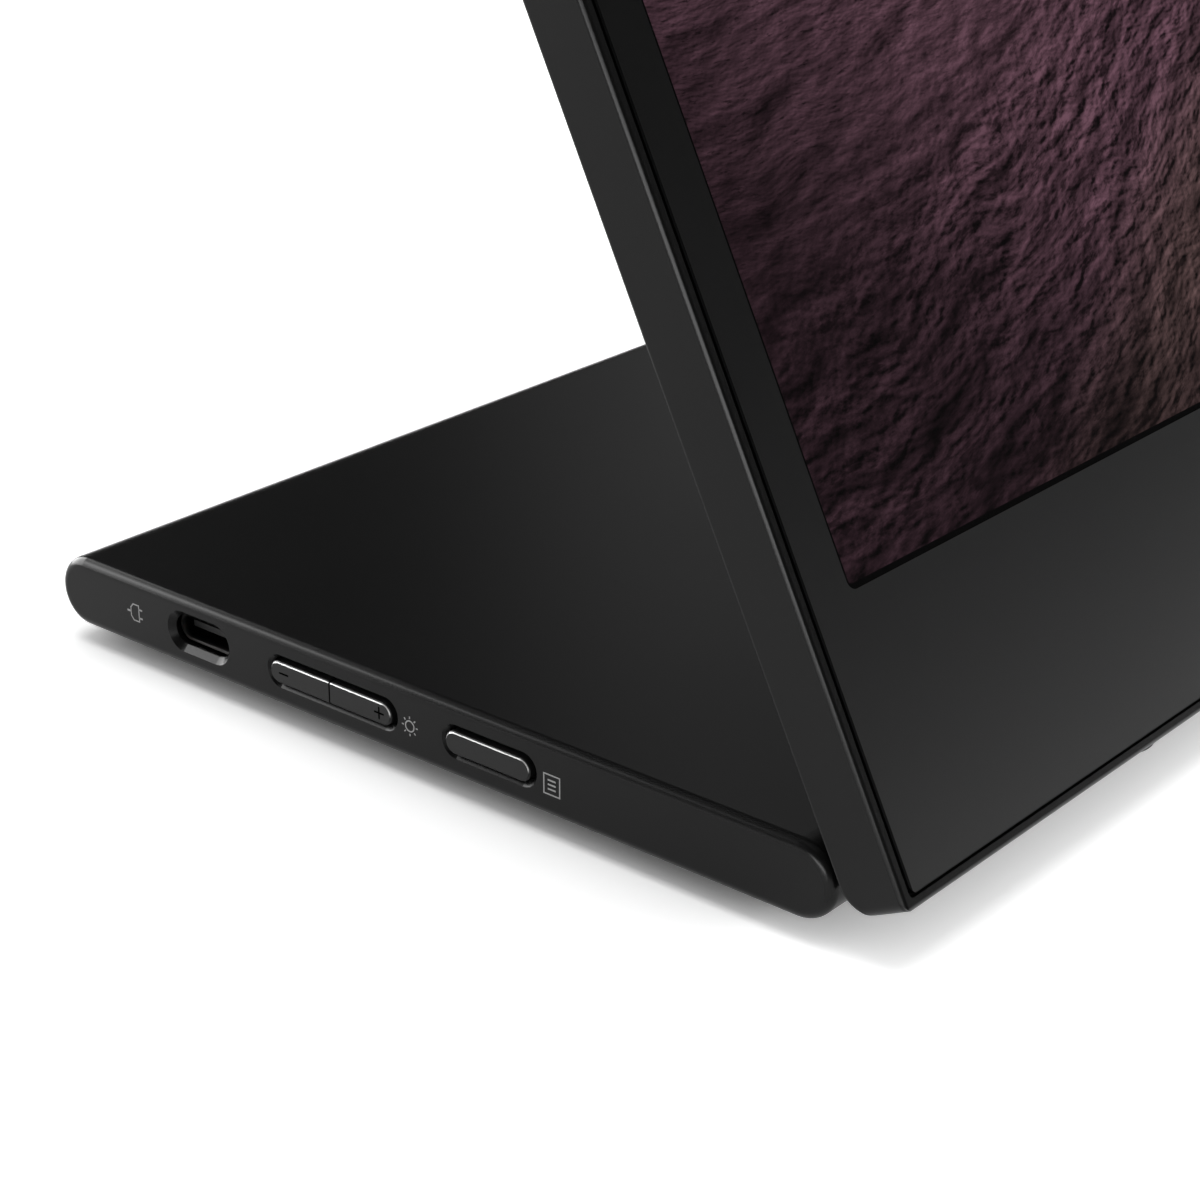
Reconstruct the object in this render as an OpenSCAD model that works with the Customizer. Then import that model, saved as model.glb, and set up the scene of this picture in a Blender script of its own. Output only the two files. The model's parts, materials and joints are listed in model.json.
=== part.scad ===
// Portable monitor: a slim screen that leans on a flat stand base and folds down onto it.
// Millimetres. X runs across the width, Y from the viewer to the back, Z up. The origin lies under the
// middle of the whole object, on the surface that its feet stand on.

/* [Screen] */
// Width of the screen and of the stand base
body_w = 323.4; // [320:0.2:360]
// Height of the screen, measured along its own slope
screen_h = 209.3; // [207.3:0.5:214.3]
// Thickness of the screen, from its back to the lip round the glass
screen_t = 6.6; // [6.5:0.05:8]
// Lean of the screen back from upright, in degrees
tilt = 26.5; // [0:0.5:30]
// Width of the lit picture
picture_w = 309.4; // [300:0.1:310]
// Height of the lit picture
picture_h = 174; // [168:0.1:175]
// Black band of glass below the picture
chin_h = 27.9; // [26:0.1:30]
// Width of the lip of the housing beside the glass
lip_w = 1.02; // [0.9:0.02:1.2]
// Open gap between the lip and the glass
glass_gap = 0.28; // [0.2:0.02:0.4]
// Height of the glass above the lip
glass_proud = 0.2; // [0.1:0.05:0.3]
// Rounding of the housing's lower and upper back edges
back_edge_r = 3.25; // [2:0.05:3.5]
// Rounding of all other edges of the housing
edge_r = 0.45; // [0.3:0.05:0.6]
// Radius of the housing's corners, seen from the front
corner_r = 1.1; // [0.8:0.1:2]

/* [Stand base] */
// Depth of the stand base, front to back
base_d = 105.5; // [100:0.5:120]
// Thickness of the stand base, whose front and rear edges are half-round
base_t = 8; // [8:0.1:10]
// Fillet between each side face and the top, the underside and the half-round edges
side_fillet = 1.05; // [0.6:0.05:1.2]
// Wall of the stand base at the top, underside, front and rear
wall = 1.2; // [1:0.1:1.3]
// Height of the rubber feet under the base
foot_h = 2.4; // [2:0.1:4]
// Width of one rubber foot where it meets the table
foot_w = 5.6; // [4:0.2:8]

/* [Sockets and keys] */
// Distance of the USB-C sockets from the base's front edge
port_y = 82.7; // [80:0.1:86]
// Distance of the gap between the two brightness keys from the base's front edge
brightness_y = 62.5; // [60:0.1:64]
// Distance of the menu key's middle from the base's front edge
menu_y = 40.8; // [38:0.1:42]
// Distance of the power key's middle from the base's front edge
power_y = 62.5; // [56:0.1:64]
// Height of a key's cap
key_h = 2.45; // [2:0.05:2.5]
// Travel of a key
key_travel = 0.35; // [0.2:0.05:0.4]

/* [Hinges] */
// Distance of each hinge's middle from the middle of the monitor
hinge_x = 78; // [76:1:80]
// Width of the notch that each knuckle turns in
notch_w = 34; // [33:1:36]
// Radius of the knuckle cover
knuckle_r = 3.9; // [3.7:0.05:3.95]
// Radius of the steel pin
pin_r = 1.75; // [1.5:0.05:1.8]

/* [Hidden] */
$fn = 64;

// Colours
graphite = [0.11, 0.11, 0.12];
gloss_black = [0.03, 0.03, 0.035];
rubber_black = [0.07, 0.07, 0.07];
steel = [0.72, 0.73, 0.75];
dark_steel = [0.35, 0.35, 0.37];
gold = [0.83, 0.66, 0.25];
board_green = [0.05, 0.28, 0.16];
black_plastic = [0.09, 0.09, 0.09];
film_white = [0.92, 0.93, 0.95];
amber_film = [0.72, 0.42, 0.12];
clear_plastic = [0.8, 0.88, 0.9];

// The hinge's axis lies in the middle of the base's half-round front edge
base_r = base_t / 2;
// Axis to the screen's back, and axis down to the screen's bottom edge
back_gap = base_r + 0.48;
hem = base_r + 0.42;

// Most forward point of the leaning screen and the middle of the whole object, from the base's front edge
front_y = base_r + (edge_r - hem) * sin(tilt) - (back_gap + screen_t - edge_r) * cos(tilt) - edge_r;
middle_y = (front_y + base_d) / 2;

// Base: side walls, bottom cover and the heights of what lies inside
side_wall = 1.6;
side_x = body_w / 2;
inner_x = side_x - side_wall;
cover_t = 0.7;
cover_inset_x = 9;
cover_front_y = 11;
cover_rear_inset = 8;
cover_ledge = 1.5;
cover_play = 0.12;
board_t = 0.8;
board_top = 2.5;
board_front_y = 30;
board_rear_y = base_d - 14.5;
board_edge_x = inner_x - 3.5;
board_inner_x = 96;
ribbon_y = 70;
ribbon_w = 12;
ribbon_t = 0.25;
plate_t = 1.2;

// Keys and sockets
key_z = 4.1;
key_proud = 0.3;
key_split = 0.2;
key_bevel = 0.18;
recess_bevel = 0.5;
key_play_y = 0.2;
key_play_z = 0.155;
brightness_l = 17.5;
menu_l = 11.1;
power_l = 8;
flange_lip = 0.5;
flange_t = 0.6;
flange_x = inner_x - 0.05;
stem_r = 0.75;
stem_tip_x = inner_x - 2.4;
switch_x = inner_x - 1.5;
switch_d = 2.2;
port_z = 4.15;
port_w = 8.45;
port_h = 3.4;
port_bevel = 0.65;
port_lip = 0.2;
port_bore_w = 9.7;
port_bore_h = 4;
shell_w = 8.94;
shell_h = 3.26;
shell_t = 0.3;
shell_l = 7.35;
shell_x = side_x - 1.5;
tongue_w = 6.7;
tongue_t = 0.7;
tongue_l = 5.1;
contact_w = 0.25;
contact_pitch = 0.5;
contact_l = 3.4;
slot_y = 20;
slot_w = 7;
slot_h = 3;
slot_depth = 5;

// Screws: shank radius, bore radius and head
screw_r = 0.75;
bore_r = 0.8;
head_r = 1.45;
head_t = 0.45;
cross_depth = 0.4;

// Hinge parts, from the notch's outer wall outwards
notch_d = base_r + knuckle_r + 0.7;
notch_in_x = hinge_x - notch_w / 2;
notch_out_x = hinge_x + notch_w / 2;
knuckle_play = 0.4;
knuckle_wall = 0.85;
neck_low = 2.2;
neck_high = 3.1;
eye_r = 2.75;
eye_l = 14;
eye_x = notch_out_x - 0.8 - eye_l;
arm_t = 1.6;
collar_r = 2.2;
collar_x = notch_out_x - 0.7;
lug_x = notch_out_x + wall + 0.3;
lug_l = 2.7;
lug_r = 2.7;
pin_play = 0.03;
leaf_t = 1.2;
leaf_l = 22;
leaf_rear_y = 26;
leaf_z = 2.5;
washer_r = 2.6;
washer_x = lug_x + lug_l + 0.05;
nut_x = washer_x + 1.85;
nut_l = 1.8;
nut_flats = 4.4;
leaf_holes = [[5, 14], [16, 14], [16, 22]];
screen_leaf_x = eye_x + eye_l / 2;
screen_leaf_w = 26;
screen_leaf_v = 24;
screen_leaf_t = 1;
screen_leaf_holes = [[-9, 12], [0, 19], [9, 12]];

// Screen: pockets in the housing and the layers behind the glass, from the back forwards
back_t = 1.1;
rim_w = 2.2;
glass_inset = lip_w + glass_gap;
glass_t = 0.8;
adhesive_t = 0.15;
glass_back = screen_t + glass_proud - glass_t;
ledge_t = glass_back - adhesive_t;
cell_t = 0.8;
cell_back = glass_back - cell_t;
cell_side = 2.5;
cell_below = 4.5;
cell_above = 3;
tray_back = 3.5;
tray_sheet = 0.3;
tray_wall = 0.5;
reflector_t = 0.1;
guide_t = 0.75;
film_t = 0.3;
led_strip_w = 2.5;
layer_play = 0.05;
rib_w = 1.2;
driver_w = 100;
driver_v = 3;
driver_h = 17;
driver_back = 2.4;

// Display cable
cable_r = 1.2;
cable_bend = 4;
cable_y = 45;

// ---------- Shared forms ----------

// Rectangle with rounded corners, centred
module rounded_rect(w, h, r) {
    square([w - 2 * r, h], center = true);
    square([w, h - 2 * r], center = true);
    for (x = [-1, 1], y = [-1, 1])
        translate([x * (w / 2 - r), y * (h / 2 - r)])
            circle(r);
}

// Plate lying flat with rounded corners: x and y from corner to corner
module rounded_plate(x0, y0, x1, y1, t, r) {
    translate([(x0 + x1) / 2, (y0 + y1) / 2, 0])
        linear_extrude(t)
            rounded_rect(x1 - x0, y1 - y0, r);
}

// Round bar along Z, centred, with a fillet round each end
module rounded_bar(l, r, fillet) {
    rotate_extrude()
        intersection() {
            rounded_rect(2 * r, l, fillet);
            translate([0, -l / 2])
                square([r, l]);
        }
}

// Round bar along Z, centred, with ball ends
module capsule(l, r) {
    cylinder(r = r, h = l - 2 * r, center = true);
    for (z = [-1, 1])
        translate([0, 0, z * (l / 2 - r)])
            sphere(r);
}

// Flat slab whose front and rear edges are half-round and whose side faces meet the rest in a fillet
module slab(w, d, t, fillet) {
    r = t / 2;
    for (y = [r, d - r])
        translate([0, y, r])
            rotate([0, 90, 0])
                rounded_bar(w, r, fillet);
    translate([0, r, r])
        rotate([-90, 0, 0])
            linear_extrude(d - 2 * r)
                rounded_rect(w, t, fillet);
}

// Long pill that runs along Y and is turned from one half profile: points are [radius, height] pairs
module turned_pill(l, points) {
    r = max([for (p = points) p[0]]);
    for (y = [-1, 1])
        translate([0, y * (l / 2 - r), 0])
            rotate_extrude()
                polygon(points);
    rotate([90, 0, 0])
        linear_extrude(l - 2 * r, center = true)
            union() {
                polygon(points);
                mirror([1, 0])
                    polygon(points);
            }
}

// Half profile of a pill of half height r and given depth, widened by a bevel at its upper end
function bevelled(r, depth, bevel) =
    [[0, 0], [r, 0], [r, depth - abs(bevel)], [r + bevel, depth], [0, depth]];

// Turns a form drawn on the XY plane to look out of the right side face, with its top at x
module on_side(x, y, z) {
    translate([x, y, z])
        rotate([0, 90, 0])
            children();
}

// Left and right twins of one piece: side is -1 or 1
module handed(side) {
    mirror([side < 0 ? 1 : 0, 0, 0])
        children();
}

// Cross cut into a screw's head, from its face at z = 0 upwards
module cross_recess() {
    for (turn = [0, 90])
        rotate([0, 0, turn])
            translate([0, 0, cross_depth / 2 - 0.5])
                cube([1.7, 0.36, cross_depth + 1], center = true);
}

// Screw pointing up: head below z = 0
module screw_up(l) {
    difference() {
        union() {
            translate([0, 0, -head_t])
                cylinder(r = head_r, h = head_t);
            cylinder(r = screw_r, h = l);
        }
        translate([0, 0, -head_t])
            cross_recess();
    }
}

// Places a form drawn in the base's frame: y from the base's front edge, z from its underside
module on_base() {
    translate([0, -middle_y, foot_h])
        children();
}

// Places a form drawn in the screen's frame: y up from its bottom edge, z forward from its back
module on_screen() {
    translate([0, base_r - middle_y, foot_h + base_r])
        rotate([90 - tilt, 0, 0])
            translate([0, -hem, back_gap])
                children();
}

// Places a form drawn round the hinge's axis, which then runs along +X from x
module on_axis(x) {
    translate([x, base_r, base_r])
        rotate([90, 0, 90])
            children();
}

// Same in the screen's frame
module on_screen_axis(x) {
    translate([x, hem, -back_gap])
        rotate([90, 0, 90])
            children();
}

// ---------- Stand base ----------

cover_x = side_x - cover_inset_x;
cover_rear_y = base_d - cover_rear_inset;
cover_screw_places = [
    for (x = [-1, 1]) for (y = [cover_front_y + 5, cover_rear_y - 3])
        for (f = [0.25, 0.94]) [x * f * cover_x, y]
];
board_screw_places = [
    for (x = [-1, 1]) for (y = [board_front_y + 3, board_rear_y - 3])
        for (inset = [board_inner_x + 3, board_edge_x - 9]) [x * inset, y]
];
plate_screw_places = [
    for (x = [-1, 1]) for (y = [board_front_y + 5, board_rear_y - 5]) [x * (board_inner_x - 8), y]
];
inner_screw_places = concat(board_screw_places, plate_screw_places);

// Socket or key opening through a side wall, bevelled at the face
module side_opening(y, z, l, h, bevel) {
    on_side(inner_x - 1, y, z)
        turned_pill(l + 2 * bevel, bevelled(h / 2, side_wall + 1, bevel));
}

module key_opening(y, l) {
    side_opening(y, key_z, l + 2 * key_play_y, key_h + 2 * key_play_z, recess_bevel);
}

// Mouth of a USB-C socket: a wide bevel down to a thin lip, and a larger bore behind it round the shell
module port_opening() {
    side_opening(port_y, port_z, port_w, port_h, port_bevel);
    on_side(inner_x - 1, port_y, port_z)
        turned_pill(port_bore_w, bevelled(port_bore_h / 2, side_wall + 1 - port_bevel - port_lip, 0));
}

// Boss that hangs from the top wall down to height z
module boss(p, z, r) {
    translate([p[0], p[1], z])
        cylinder(r = r, h = base_t - wall - z + 0.1);
}

// One-piece casing of the base: walls, notches for the knuckles, openings in both side faces and bosses
module base_housing() {
    color(graphite)
        on_base()
            difference() {
                union() {
                    difference() {
                        slab(body_w, base_d, base_t, side_fillet);
                        translate([0, wall, wall])
                            slab(2 * inner_x, base_d - 2 * wall, base_t - 2 * wall, 0.3);
                        translate([0, 0, -1])
                            rounded_plate(cover_ledge - cover_x, cover_front_y + cover_ledge,
                                cover_x - cover_ledge, cover_rear_y - cover_ledge, 3, 3);
                    }
                    for (side = [-1, 1])
                        handed(side)
                            intersection() {
                                slab(body_w, base_d, base_t, side_fillet);
                                translate([notch_in_x - wall, 0, 0])
                                    cube([notch_w + 2 * wall, notch_d + wall, base_t]);
                            }
                    for (p = cover_screw_places)
                        boss(p, cover_t, 2.2);
                    for (p = inner_screw_places)
                        boss(p, board_top, 2);
                    for (side = [-1, 1])
                        handed(side)
                            for (h = leaf_holes)
                                boss([lug_x + h[0], h[1]], leaf_z + leaf_t, 2);
                    translate([side_x - side_wall - slot_depth, slot_y - slot_w, wall])
                        cube([slot_depth + 0.5, 2 * slot_w, base_t - 2 * wall]);
                }
                translate([0, 0, -1])
                    rounded_plate(-cover_x, cover_front_y, cover_x, cover_rear_y, cover_t + 1, 4);
                for (side = [-1, 1])
                    handed(side) {
                        translate([notch_in_x, -1, -1])
                            cube([notch_w, notch_d + 1, base_t + 2]);
                        on_axis(notch_in_x - wall - 1)
                            cylinder(r = cable_r + 0.3, h = wall + 2);
                        on_axis(notch_out_x - 1)
                            cylinder(r = collar_r + 0.2, h = wall + 2);
                        port_opening();
                        for (h = leaf_holes)
                            translate([lug_x + h[0], h[1], leaf_z])
                                cylinder(r = bore_r, h = 3.6);
                    }
                handed(-1) {
                    key_opening(brightness_y, brightness_l);
                    key_opening(menu_y, menu_l);
                }
                key_opening(power_y, power_l);
                on_side(side_x - slot_depth, slot_y, key_z)
                    turned_pill(slot_w, bevelled(slot_h / 2, slot_depth + 0.01, 0));
                for (p = cover_screw_places)
                    translate([p[0], p[1], 0])
                        cylinder(r = bore_r, h = 5);
                for (p = inner_screw_places)
                    translate([p[0], p[1], board_top - 0.5])
                        cylinder(r = bore_r, h = 3.6);
            }
}

// Thin sheet cover let into the underside, flush with it
module base_bottom_cover() {
    color(graphite)
        on_base()
            difference() {
                rounded_plate(cover_play - cover_x, cover_front_y + cover_play,
                    cover_x - cover_play, cover_rear_y - cover_play, cover_t, 4);
                for (p = cover_screw_places)
                    translate([p[0], p[1], 0]) {
                        cylinder(r1 = head_r + 0.1, r2 = bore_r + 0.1, h = cover_t);
                        cylinder(r = bore_r + 0.1, h = 3);
                    }
            }
}

module cover_screws() {
    color(dark_steel)
        on_base()
            for (p = cover_screw_places)
                translate([p[0], p[1], 0])
                    difference() {
                        union() {
                            cylinder(r1 = head_r, r2 = screw_r, h = cover_t);
                            cylinder(r = screw_r, h = 4.4);
                        }
                        cross_recess();
                    }
}

// Steel plate between the two boards, which keeps the thin base from twisting
module base_stiffener_plate() {
    plate_x = board_inner_x - 2;
    color(steel)
        on_base()
            translate([0, 0, board_top - plate_t])
                difference() {
                    rounded_plate(-plate_x, board_front_y, plate_x, board_rear_y, plate_t, 3);
                    for (x = [-60, 0, 60])
                        translate([x, board_front_y + 17, -1])
                            cylinder(r = 11, h = 5);
                    for (p = plate_screw_places)
                        translate([p[0], p[1], -1])
                            cylinder(r = bore_r + 0.1, h = 5);
                }
}

// Rubber foot: a tapered pill, cut to seat on the base, whose front end at y may wrap the lower front edge
module foot(x, y, l) {
    slope = 0.424;
    top = 2.2;
    color(rubber_black)
        on_base()
            difference() {
                translate([x, y + l / 2, -foot_h])
                    turned_pill(l, [[0, 0], [foot_w / 2 - 0.3, 0], [foot_w / 2, 0.3],
                        [foot_w / 2 - slope * (foot_h + top), foot_h + top], [0, foot_h + top]]);
                slab(body_w, base_d, base_t, side_fillet);
            }
}

foot_x = side_x - 54;
front_foot_y = -1.4;
rear_foot_y = base_d - 22;
foot_l = 10.4;

module front_foot_left() {
    foot(-foot_x, front_foot_y, foot_l);
}

module front_foot_right() {
    foot(foot_x, front_foot_y, foot_l);
}

module rear_foot_left() {
    foot(-foot_x, rear_foot_y, foot_l);
}

module rear_foot_right() {
    foot(foot_x, rear_foot_y, foot_l);
}

// ---------- Electronics in the base ----------

// Circuit board on the right half of the base: side -1 gives the left one
module circuit_board(side) {
    on_base()
        handed(side)
            difference() {
                union() {
                    rounded_plate(board_inner_x, board_front_y, board_edge_x, board_rear_y, board_t, 2);
                    translate([board_inner_x + 14, board_front_y + 22, board_t])
                        cube([12, 12, 1]);
                    translate([board_inner_x + 32, board_front_y + 14, board_t])
                        cube([8, 9, 1]);
                    translate([board_inner_x + 0.2, ribbon_y - ribbon_w / 2 - 1.2, board_t])
                        difference() {
                            cube([4, ribbon_w + 2.4, 1.5]);
                            translate([-1, 1, -1])
                                cube([6, ribbon_w + 0.4, ribbon_t + 1.05]);
                        }
                    for (y = [0:4])
                        translate([board_inner_x + 30, board_front_y + 30 + 5 * y, board_t])
                            cube([4, 2.5, 1.4]);
                    translate([board_inner_x, cable_y - 3, board_t])
                        cube([5, 6, 3]);
                }
                for (p = board_screw_places)
                    if (p[0] > 0)
                        translate([p[0], p[1], -1])
                            cylinder(r = bore_r + 0.1, h = 3);
            }
}

module main_board() {
    color(board_green)
        translate([0, 0, board_top - board_t])
            circuit_board(-1);
}

module side_board() {
    color(board_green)
        translate([0, 0, board_top - board_t])
            circuit_board(1);
}

module board_screws() {
    color(dark_steel)
        on_base() {
            for (p = board_screw_places)
                translate([p[0], p[1], board_top - board_t])
                    screw_up(3.4);
            for (p = plate_screw_places)
                translate([p[0], p[1], board_top - plate_t])
                    screw_up(3.8);
        }
}

module board_link_ribbon() {
    color(amber_film)
        on_base()
            translate([0, ribbon_y, board_top + ribbon_t / 2])
                cube([2 * board_inner_x + 7, ribbon_w, ribbon_t], center = true);
}

// Side-push switches on the boards' outer edges, each with a well for the stem of its key
module key_switch(y) {
    difference() {
        translate([switch_x - switch_d, y - 2.3, board_top])
            cube([switch_d, 4.6, 3]);
        on_side(stem_tip_x - key_travel - 0.15, y, key_z)
            cylinder(r = stem_r + 0.1, h = 3);
    }
}

module key_switches() {
    color(black_plastic)
        on_base() {
            for (y = [brightness_y - brightness_l / 4, brightness_y + brightness_l / 4, menu_y])
                handed(-1)
                    key_switch(y);
            key_switch(power_y);
        }
}

// Drawn metal tube of a USB-C socket, closed at its far end and set back from the side face
module usb_c_shell(side) {
    color(steel)
        on_base()
            handed(side)
                difference() {
                    on_side(shell_x - shell_l, port_y, port_z)
                        turned_pill(shell_w, bevelled(shell_h / 2, shell_l, 0));
                    on_side(shell_x - shell_l + 0.8, port_y, port_z)
                        turned_pill(shell_w - 2 * shell_t, bevelled(shell_h / 2 - shell_t, shell_l, 0));
                }
}

module usb_c_shell_left() {
    usb_c_shell(-1);
}

module usb_c_shell_right() {
    usb_c_shell(1);
}

// Moulded tongue in the middle of the socket, on a plug that fills its far end
module usb_c_tongue(side) {
    tip_x = shell_x - 0.9;
    color(black_plastic)
        on_base()
            handed(side) {
                on_side(shell_x - shell_l + 0.8, port_y, port_z)
                    turned_pill(shell_w - 2 * shell_t, bevelled(shell_h / 2 - shell_t, 1.2, 0));
                translate([tip_x - tongue_l - 0.2, port_y - tongue_w / 2, port_z - tongue_t / 2])
                    cube([tongue_l + 0.2, tongue_w, tongue_t]);
            }
}

module usb_c_tongue_left() {
    usb_c_tongue(-1);
}

module usb_c_tongue_right() {
    usb_c_tongue(1);
}

// Gold strips on both faces of the two tongues
module usb_c_contacts() {
    contact_x = shell_x - 1.5;
    color(gold)
        on_base()
            for (side = [-1, 1])
                handed(side)
                    for (i = [-5.5:5.5], face = [-1, 1])
                        translate([contact_x - contact_l / 2, port_y + i * contact_pitch,
                            port_z + face * (tongue_t / 2 + 0.03)])
                            cube([contact_l, contact_w, 0.06], center = true);
}

// Key cap that looks out of the right side face; ends is how much of the pill it keeps, in y
module key(y, l, ends) {
    color(graphite)
        intersection() {
            union() {
                on_side(flange_x - 0.01, y, key_z)
                    turned_pill(l, bevelled_top(key_h / 2, side_x + key_proud - flange_x + 0.01, key_bevel));
                on_side(flange_x - flange_t, y, key_z)
                    turned_pill(l + 2 * flange_lip, bevelled(key_h / 2 + flange_lip, flange_t, 0));
                on_side(stem_tip_x, (ends[0] + ends[1]) / 2, key_z)
                    cylinder(r = stem_r, h = flange_x - stem_tip_x - flange_t / 2);
            }
            translate([0, ends[0] - (ends[0] < y - l / 2 + 1 ? 2 : 0), -20])
                cube([200, ends[1] - ends[0] + (ends[1] > y + l / 2 - 1 ? 2 : 0)
                    + (ends[0] < y - l / 2 + 1 ? 2 : 0), 40]);
        }
}

// Half profile of a pill that narrows by a bevel at its upper end
function bevelled_top(r, depth, bevel) =
    [[0, 0], [r, 0], [r, depth - bevel], [r - bevel, depth], [0, depth]];

module brightness_down_key() {
    on_base()
        handed(-1)
            key(brightness_y, brightness_l, [brightness_y + key_split / 2, brightness_y + brightness_l / 2]);
}

module brightness_up_key() {
    on_base()
        handed(-1)
            key(brightness_y, brightness_l, [brightness_y - brightness_l / 2, brightness_y - key_split / 2]);
}

module menu_key() {
    on_base()
        handed(-1)
            key(menu_y, menu_l, [menu_y - menu_l / 2, menu_y + menu_l / 2]);
}

module power_key() {
    on_base()
        key(power_y, power_l, [power_y - power_l / 2, power_y + power_l / 2]);
}

// ---------- Hinges ----------

// Steel leaf screwed under the base's top wall: a flat plate with a lug bored for the pin
module hinge_base_leaf(side) {
    reach = 8;
    color(steel)
        on_base()
            handed(side)
                difference() {
                    union() {
                        on_axis(lug_x)
                            linear_extrude(lug_l) {
                                circle(lug_r);
                                polygon([[0, -lug_r], [reach, leaf_z - base_r],
                                    [reach, leaf_z + leaf_t - base_r], [3.6, 1], [0, lug_r]]);
                            }
                        translate([lug_x, base_r + 3, leaf_z])
                            cube([lug_l, 4, leaf_t]);
                        translate([0, 0, leaf_z])
                            rounded_plate(lug_x, base_r + 4.4, lug_x + leaf_l, leaf_rear_y, leaf_t, 1.5);
                    }
                    for (h = leaf_holes)
                        translate([lug_x + h[0], h[1], 0])
                            cylinder(r = bore_r + 0.1, h = 5);
                    on_axis(lug_x - 1)
                        cylinder(r = pin_r + pin_play, h = lug_l + 2);
                }
}

module hinge_base_leaf_left() {
    hinge_base_leaf(-1);
}

module hinge_base_leaf_right() {
    hinge_base_leaf(1);
}

module base_leaf_screws() {
    color(dark_steel)
        on_base()
            for (side = [-1, 1])
                handed(side)
                    for (h = leaf_holes)
                        translate([lug_x + h[0], h[1], leaf_z])
                            screw_up(3.2);
}

// Turned pin: pressed into the screen leaf's eye, with a collar that bears on the base leaf's lug
module hinge_pin(side) {
    color(steel)
        on_screen()
            handed(side) {
                on_screen_axis(eye_x)
                    cylinder(r = pin_r, h = nut_x + nut_l + 0.4 - eye_x);
                on_screen_axis(collar_x)
                    cylinder(r = collar_r, h = lug_x - 0.05 - collar_x);
            }
}

module hinge_pin_left() {
    hinge_pin(-1);
}

module hinge_pin_right() {
    hinge_pin(1);
}

// Flat friction washer and two dished spring washers that squeeze the lug
module hinge_washers(side) {
    bore = pin_r + 0.05;
    thick = 0.35;
    dish = 0.2;
    color(dark_steel)
        on_screen()
            handed(side) {
                on_screen_axis(washer_x)
                    difference() {
                        cylinder(r = washer_r, h = thick);
                        translate([0, 0, -1])
                            cylinder(r = bore, h = 3);
                    }
                for (i = [0, 1])
                    on_screen_axis(washer_x + thick + 0.1 + i * 0.65)
                        rotate_extrude()
                            polygon([[bore, 0], [washer_r, dish], [washer_r, dish + thick], [bore, thick]]);
            }
}

module hinge_washers_left() {
    hinge_washers(-1);
}

module hinge_washers_right() {
    hinge_washers(1);
}

module hinge_nut(side) {
    color(steel)
        on_screen()
            handed(side)
                on_screen_axis(nut_x)
                    difference() {
                        cylinder(r = nut_flats / sqrt(3), h = nut_l, $fn = 6);
                        translate([0, 0, -1])
                            cylinder(r = pin_r, h = nut_l + 2);
                    }
}

module hinge_nut_left() {
    hinge_nut(-1);
}

module hinge_nut_right() {
    hinge_nut(1);
}

// Steel leaf that joins the pin to the screen: an eye, an arm through the back wall and a plate inside it
module hinge_screen_leaf(side) {
    color(steel)
        on_screen()
            handed(side)
                difference() {
                    union() {
                        on_screen_axis(eye_x)
                            cylinder(r = eye_r, h = eye_l);
                        translate([eye_x, hem - arm_t / 2, -back_gap + 1])
                            cube([eye_l, arm_t, back_gap - 1 + back_t + layer_play + screen_leaf_t]);
                        translate([screen_leaf_x - screen_leaf_w / 2, hem - arm_t / 2, back_t + layer_play])
                            cube([screen_leaf_w, screen_leaf_v - hem, screen_leaf_t]);
                    }
                    on_screen_axis(eye_x - 1)
                        cylinder(r = pin_r, h = eye_l + 2);
                    for (h = screen_leaf_holes)
                        translate([screen_leaf_x + h[0], h[1], 0])
                            cylinder(r = bore_r + 0.1, h = 5);
                }
}

module hinge_screen_leaf_left() {
    hinge_screen_leaf(-1);
}

module hinge_screen_leaf_right() {
    hinge_screen_leaf(1);
}

// Screws that hold the screen leaves: their heads lie on the leaf, their tips in the back wall
module screen_leaf_screws() {
    color(dark_steel)
        on_screen()
            for (side = [-1, 1])
                handed(side)
                    for (h = screen_leaf_holes)
                        translate([screen_leaf_x + h[0], h[1], back_t + layer_play + screen_leaf_t])
                            rotate([180, 0, 0])
                                screw_up(screen_leaf_t + 0.7);
}

// Moulded cover round the eye: a barrel and a neck that meets the screen's back
module knuckle_cover(side) {
    start_x = notch_in_x + knuckle_play;
    l = notch_w - 2 * knuckle_play;
    color(black_plastic)
        on_screen()
            handed(side)
                difference() {
                    union() {
                        on_screen_axis(start_x)
                            cylinder(r = knuckle_r, h = l);
                        translate([start_x, hem - neck_low, -back_gap])
                            cube([l, neck_low + neck_high, back_gap + 0.6]);
                    }
                    screen_form(0.02);
                    on_screen_axis(start_x + knuckle_wall)
                        cylinder(r = knuckle_r - knuckle_wall, h = l);
                    translate([start_x + knuckle_wall, hem - neck_low + 0.75, -back_gap])
                        cube([l, neck_low + neck_high - 1.5, back_gap + 1]);
                    on_screen_axis(start_x - 1)
                        cylinder(r = cable_r + 0.3, h = 3);
                }
}

module knuckle_cover_left() {
    knuckle_cover(-1);
}

module knuckle_cover_right() {
    knuckle_cover(1);
}

// ---------- Cable from the main board to the screen ----------

// Quarter turn of cable in the XY plane, from +X at the origin towards +Y
module cable_turn(r) {
    translate([0, r, 0])
        rotate([0, 0, -90])
            rotate_extrude(angle = 90)
                translate([r, 0])
                    circle(cable_r);
}

module cable_run(l) {
    rotate([0, 90, 0])
        cylinder(r = cable_r, h = l);
}

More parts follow.
